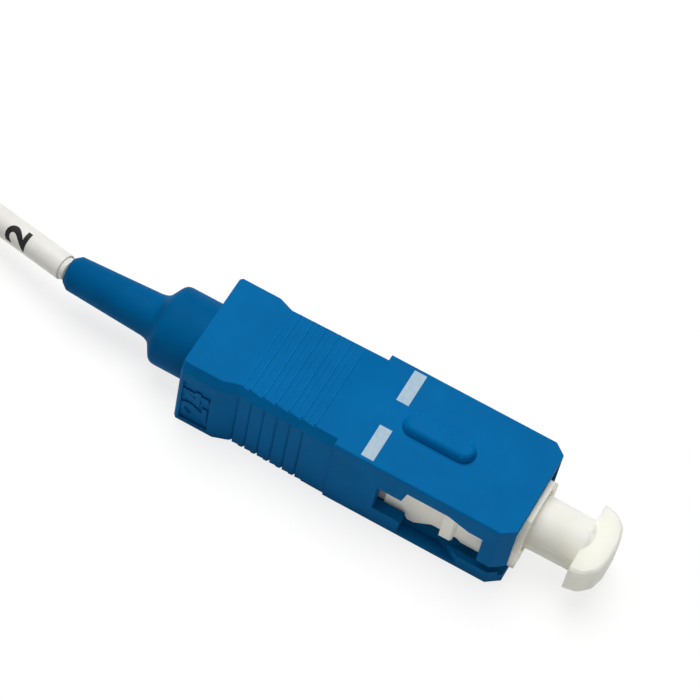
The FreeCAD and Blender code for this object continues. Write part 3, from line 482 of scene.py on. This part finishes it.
glass_clear, shader, place = new_finish("glass_clear", Roughness=0.05, Specular_IOR_Level=0.5)
place.noise(20000.0, 1.0).tinted(paint("8FA3A8"), paint("C7D3D6")).into(shader, "Base Color")
finish_node("glass_fibre", glass_clear)


def plated(name, dark, light, roughness):
    """Bright metal with fine turning marks."""
    material, shader, place = new_finish(name, Metallic=1.0)
    place.noise(1200.0, 3.0).tinted(paint(dark), paint(light)).into(shader, "Base Color")
    marks = place.node("ShaderNodeTexWave", {"wave_profile": "SIN"},
                       {"Vector": place, "Scale": 9000.0, "Distortion": 1.5, "Detail": 2.0})
    (marks * 0.1 + roughness).into(shader, "Roughness")
    return material


finish_node("ferrule_flange", plated("nickel_bright", "B4B1A8", "CFCDC6", 0.22))
tube_clear, shader, place = new_finish("tube_clear", Roughness=0.3, Specular_IOR_Level=0.4)
place.noise(900.0, 3.0).tinted(paint("C9CFC8"), paint("DDE2DC")).into(shader, "Base Color")
finish_node("inner_tube", tube_clear)
finish_node("tight_buffer", buffer_white)


# ---- Spring --------------------------------------------------------------------------------
# A stainless compression spring, five turns of half-millimetre wire, between the stop ring and
# the ferrule's flange. It is made at its rest length; the millimetre it gives when the ferrule is pushed
# back is not modelled.
def new_tree(name, sockets):
    """A Geometry Nodes tree with named inputs, and a wire from each."""
    tree = bpy.data.node_groups.new(name, "GeometryNodeTree")
    tree.is_modifier = True
    for socket, kind in sockets:
        tree.interface.new_socket(socket, in_out="INPUT", socket_type="NodeSocket" + kind)
    tree.interface.new_socket("Geometry", in_out="OUTPUT", socket_type="NodeSocketGeometry")
    given = tree.nodes.new("NodeGroupInput")
    return tree, [Wire(tree, given.outputs[i]) for i in range(len(sockets))]


def end_tree(shape, finish):
    """Smooth, real and painted, out of the tree."""
    smooth = shape.node("GeometryNodeSetShadeSmooth", {}, {"Geometry": shape})
    real = shape.node("GeometryNodeRealizeInstances", {}, {"Geometry": smooth})
    painted = shape.node("GeometryNodeSetMaterial", {}, {"Geometry": real, "Material": finish})
    shape.tree.links.new(painted.socket, shape.tree.nodes.new("NodeGroupOutput").inputs[0])


def grown_piece(name, tree, values, move, body):
    """The plain mesh that a tree makes from its sizes, moved to its place."""
    seed = bpy.data.objects.new("seed", bpy.data.meshes.new("seed"))
    scene.collection.objects.link(seed)
    growth = seed.modifiers.new("growth", "NODES")
    growth.node_group = tree
    inputs = [item for item in tree.interface.items_tree if item.in_out == "INPUT"]
    for item, value in zip(inputs, values):
        growth[item.identifier] = value
    mesh = bpy.data.meshes.new_from_object(seed.evaluated_get(bpy.context.evaluated_depsgraph_get()))
    bpy.data.objects.remove(seed)
    mesh.transform(Matrix.Translation(move))
    piece = bpy.data.objects.new(name, mesh)
    scene.collection.objects.link(piece)
    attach(piece, body)
    return piece


coil_tree, (turns, coil_radius, wire_radius, length, finish) = new_tree(
    "coiled_wire", (("Turns", "Float"), ("Coil Radius", "Float"), ("Wire Radius", "Float"),
                    ("Length", "Float"), ("Finish", "Material")))
spiral = turns.node("GeometryNodeCurveSpiral", {},
                    {"Resolution": 32, "Rotations": turns, "Start Radius": coil_radius,
                     "End Radius": coil_radius, "Height": length})
section = turns.node("GeometryNodeCurvePrimitiveCircle", {}, {"Resolution": 12, "Radius": wire_radius})
wound = turns.node("GeometryNodeCurveToMesh", {},
                   {"Curve": spiral, "Profile Curve": section, "Fill Caps": True})
laid = turns.node("GeometryNodeTransform", {}, {"Geometry": wound, "Rotation": (0, math.pi / 2, 0)})
end_tree(laid, finish)

flange_length, wire, spring_give = 1.8 * MM, 0.5 * MM, 1.0 * MM
spring_low, spring_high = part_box("stop_ring")[1].x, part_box("ferrule_flange")[1].x - flange_length
spring_steel = plated("spring_steel", "8E8F90", "B2B3B4", 0.28)
spring = grown_piece("spring_coil", coil_tree,
                     (5.0, 1.95 * MM, wire / 2, spring_high - spring_low - wire, spring_steel),
                     (spring_low + wire / 2, 0, axis_height), "plug")
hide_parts("spring")
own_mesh(spring)


# ---- Stop ring, yarn and crimp -------------------------------------------------------------
# The stop ring snaps into the frame behind the spring. The lead's yellow yarn is laid over its
# grooved barrel, and a thin metal ring is crimped over the yarn and down on to the jacket.
def moulded(name, dark, light, roughness, gloss, grain_size, ease, **held):
    """Injection-moulded plastic: a faint flow cloud in the colour, a fine grain, and eased corners."""
    material, shader, place = new_finish(name, Specular_IOR_Level=gloss, **held)
    place.noise(350.0, 4.0).between(0.3, 0.7).tinted(paint(dark), paint(light)).into(shader, "Base Color")
    grain = place.noise(1 / grain_size, 2.0)
    (grain * 0.12 + (roughness - 0.06)).into(shader, "Roughness")
    eased_corner = place.node("ShaderNodeBevel", {"samples": 6}, {"Radius": ease})
    grain.raised(0.10, 0.02 * MM, Normal=eased_corner).into(shader, "Normal")
    return material


finish_node("stop_ring", moulded("stop_white", "D4D2CA", "DEDCD5", 0.45, 0.3, 0.12 * MM, 0.05 * MM))
finish_node("aramid_yarn", yarn_yellow)
finish_node("crimp_ring", plated("crimp_metal", "A7A59F", "C2C0BA", 0.3))


# ---- Boot ----------------------------------------------------------------------------------
# Soft blue rubber over the crimp: a barrel inside the grip, a shoulder that sweeps down to a short
# tail, and a small bevel where the lead comes out. Sizes are from the grip's rear end.
grip_low, grip_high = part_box("outer_grip")
boot_profile = [(-11.90, 0.96), (-11.90, 1.03), (-11.87, 1.06), (-11.47, 1.37), (-11.42, 1.40),
                (-5.6, 1.70), (-4.85, 1.74), (-4.55, 1.79), (-4.32, 1.87), (-4.14, 1.98), (-4.00, 2.13),
                (-3.88, 2.32), (-3.52, 2.90), (-3.43, 3.02), (-3.30, 3.12), (-3.14, 3.18), (-2.95, 3.20),
                (7.95, 3.20), (8.05, 3.10), (8.05, 2.48), (-0.5, 2.48), (-1.7, 0.96)]
boot_blue = moulded("boot_blue", "005488", "005B91", 0.55, 0.02, 0.10 * MM, 0.03 * MM)
boot_start = Vector((grip_low.x, 0, axis_height))
boot = mesh_piece("boot_sleeve", *turned(boot_profile, boot_start, Vector((1, 0, 0)), 96), boot_blue,
                  "plug", "blue_boot")
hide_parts("boot")


# ---- Plug frame ----------------------------------------------------------------------------
# The white inner housing that an adapter's hooks hold, with a latch block on each side. The
# plastic is given a very faint glow, painted light that lifts it where the grip shades it.
def carried(node, name, material, body, shape=None, round_off=0.0, picked=None):
    """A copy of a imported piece, its doubles merged and flats joined, shaped, rounded and smoothed."""
    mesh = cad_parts[node].data.copy()
    mesh.name = name
    mesh.materials.clear()
    mesh.materials.append(material)
    work = bmesh.new()
    work.from_mesh(mesh)
    bmesh.ops.remove_doubles(work, verts=work.verts, dist=2e-6)
    bmesh.ops.dissolve_limit(work, angle_limit=math.radians(1), verts=work.verts, edges=work.edges)
    if shape:
        for vert in work.verts:
            shape(vert)
    if round_off:
        edges = [e for e in work.edges if len(e.link_faces) == 2 and picked(e)]
        bmesh.ops.bevel(work, geom=edges, offset=round_off, segments=4, profile=0.5, affect="EDGES",
                        clamp_overlap=True)
    for face in work.faces:
        face.smooth = True
    work.to_mesh(mesh)
    work.free()
    mesh.set_sharp_from_angle(angle=math.radians(24))
    piece = bpy.data.objects.new(name, mesh)
    scene.collection.objects.link(piece)
    flats = piece.modifiers.new("flats", "WEIGHTED_NORMAL")
    flats.keep_sharp = True
    flats.weight = 100
    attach(piece, body)
    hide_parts(node)
    return piece


# The emission is painted light: a faint glow that brightens the frame inside the grip's shaded window.
frame_white = moulded("frame_white", "FCF8E9", "FFFCF0", 0.45, 0.2, 0.12 * MM, 0.06 * MM,
                      Subsurface_Weight=0.5, Subsurface_Radius=(1.0, 0.95, 0.85), Subsurface_Scale=0.7 * MM,
                      Emission_Color=paint("FFF8E6"), Emission_Strength=0.05)
carried("plug_frame", "plug_housing", frame_white, "plug")


# ---- Outer grip ----------------------------------------------------------------------------
# One blue moulding that the fingers hold and slide: open from end to end, with a window and a
# latch channel each side, a raised key and a mould number in the panel of the rear lip. The key's
# flanks are painted a little lighter, a painted light that lifts their shaded sides.
top_height, key_rise, key_round = 7.39 * MM, 0.75 * MM, 0.42 * MM
zone_start, zone_end, zone_draft = grip_low.x + 4.5 * MM, grip_low.x + 12.59 * MM, 0.035
wall_in, wall_out = 3.6 * MM, 4.3 * MM


def draft_out(vert):
    """The finger zone widens a little towards the front."""
    if zone_start < vert.co.x < zone_end + 0.1 * MM and wall_in < abs(vert.co.y) < wall_out:
        vert.co.y *= 1 + zone_draft * (vert.co.x - zone_start) / (zone_end - zone_start)


def key_rim(edge):
    return all(vert.co.z > top_height + 0.6 * MM for vert in edge.verts) and edge.calc_face_angle() > 0.7


grip_blue = moulded("grip_blue", "00649F", "0069A6", 0.5, 0.02, 0.12 * MM, 0.08 * MM)
shader = grip_blue.node_tree.nodes["Principled BSDF"]
plain_blue = Wire(grip_blue.node_tree, shader.inputs["Base Color"].links[0].from_socket)
place = plain_blue.node("ShaderNodeTexCoord", {}, {}, out="Object")
height = place.node("ShaderNodeSeparateXYZ", {}, {"Vector": place}, out="Z")
# Painted light: the key's flanks, from just above the grip's top to just under the key's top, are painted a
# lighter blue to lift their shade.
above_grip_top = height.between(top_height + 0.06 * MM, top_height + 0.20 * MM)
painted_flank_light = above_grip_top - height.between(top_height + key_rise - 0.25 * MM, top_height + key_rise - 0.03 * MM)
(painted_flank_light * 0.8).tinted(plain_blue, paint("0088CC")).into(shader, "Base Color")
grip = carried("outer_grip", "grip", grip_blue, "grip", draft_out, key_round, key_rim)

panel_floor, panel_middle_x, panel_middle_z, number_stretch = -4.47 * MM, 1.6 * MM, 3.0 * MM, 1.1
number = flat_number("24", 3.1 * MM, 0.09 * MM)
panel_middle = Vector((grip_low.x + panel_middle_x, panel_floor - 0.02 * MM, panel_middle_z))
verts = [panel_middle + Vector((-v.co.y, -v.co.z, v.co.x * number_stretch)) for v in number.vertices]
mesh_piece("mould_number", verts, [tuple(p.vertices) for p in number.polygons], grip_blue,
           "grip", "blue_grip")


# ---- Ribs of the grip ----------------------------------------------------------------------
# Each rib across the top ends in a fine bead, with a finer one in the slope behind it. They are
# part of the grip's moulding, painted a little lighter than the flats as a painted highlight.
bead_tree, (rib_count, pitch, half_width, bead_radius, finish) = new_tree(
    "rib_beads", (("Count", "Int"), ("Pitch", "Float"), ("Half Width", "Float"),
                  ("Bead Radius", "Float"), ("Finish", "Material")))
one_end = pitch.node("ShaderNodeCombineXYZ", {}, {"Y": half_width * -1})
other_end = pitch.node("ShaderNodeCombineXYZ", {}, {"Y": half_width})
across = pitch.node("GeometryNodeCurvePrimitiveLine", {}, {"Start": one_end, "End": other_end})
section = pitch.node("GeometryNodeCurvePrimitiveCircle", {}, {"Resolution": 10, "Radius": bead_radius})
bead = pitch.node("GeometryNodeCurveToMesh", {},
                  {"Curve": across, "Profile Curve": section, "Fill Caps": True})
next_rib = pitch.node("ShaderNodeCombineXYZ", {}, {"X": pitch})
row = pitch.node("GeometryNodeMeshLine", {}, {"Count": rib_count, "Offset": next_rib})
end_tree(pitch.node("GeometryNodeInstanceOnPoints", {}, {"Points": row, "Instance": bead}), finish)

# The beads' lighter blue is a painted highlight along the rib crests and creases.
bead_painted_highlight = moulded("bead_painted_highlight", "016CAB", "0773B3", 0.5, 0.03, 0.10 * MM, 0.02 * MM)
ribs_across, rib_pitch, bead_inset, zone_margin = 6, 1.075 * MM, 0.03 * MM, 1.5 * MM
rib_half = min(abs(v.co.y) for v in grip.data.vertices
               if zone_start + zone_margin < v.co.x < zone_end - zone_margin
               and v.co.z > top_height - 0.05 * MM)
bead_rows = (("rib_beads", 5.2875, 0.020, 0.085), ("rib_creases", 4.65, 0.070, 0.065))
for name, first_x, sunk, radius in bead_rows:
    grown_piece(name, bead_tree, (ribs_across, rib_pitch, rib_half - bead_inset, radius * MM, bead_painted_highlight),
                (grip_low.x + first_x * MM, 0, top_height - sunk * MM), "grip")


# ---- Printed bars --------------------------------------------------------------------------
# Two pale bars printed across the top of the grip, one each side of the key.
bar_white, shader, place = new_finish("bar_white", Roughness=0.5, Specular_IOR_Level=0.05)
ink = place.noise(4000.0, 3.0).between(0.3, 0.7)
ink.tinted(paint("A6BED0"), paint("B2C7D5")).into(shader, "Base Color")
bar_back, bar_front = grip_low.x + 14.62 * MM, grip_low.x + 15.64 * MM
bar_near_key, bar_near_edge = 1.24 * MM, 4.18 * MM
bar_low, bar_high = top_height - 0.02 * MM, top_height + 0.012 * MM
verts, faces = [], []
for side in (-1, 1):
    start = len(verts)
    for z in (bar_low, bar_high):
        verts += [(bar_back, side * bar_near_key, z), (bar_front, side * bar_near_key, z),
                  (bar_front, side * bar_near_edge, z), (bar_back, side * bar_near_edge, z)]
    faces += [tuple(start + i for i in f) for f in ((0, 1, 2, 3), (4, 5, 6, 7), (0, 1, 5, 4), (1, 2, 6, 5),
                                                    (2, 3, 7, 6), (3, 0, 4, 7))]
mesh_piece("printed_bars", verts, faces, bar_white, "grip", "blue_grip")


# ---- Dust cap ------------------------------------------------------------------------------
# Milky polythene, pushed over the ferrule: a hollow barrel closed by a flat finger tab.
cap_milky = moulded("cap_milky", "FFFAE6", "FFFCEE", 0.4, 0.12, 0.15 * MM, 0.10 * MM,
                    Subsurface_Weight=0.9, Subsurface_Radius=(1.0, 1.0, 1.0), Subsurface_Scale=1.8 * MM)
carried("dust_cap", "cap", cap_milky, "cap")
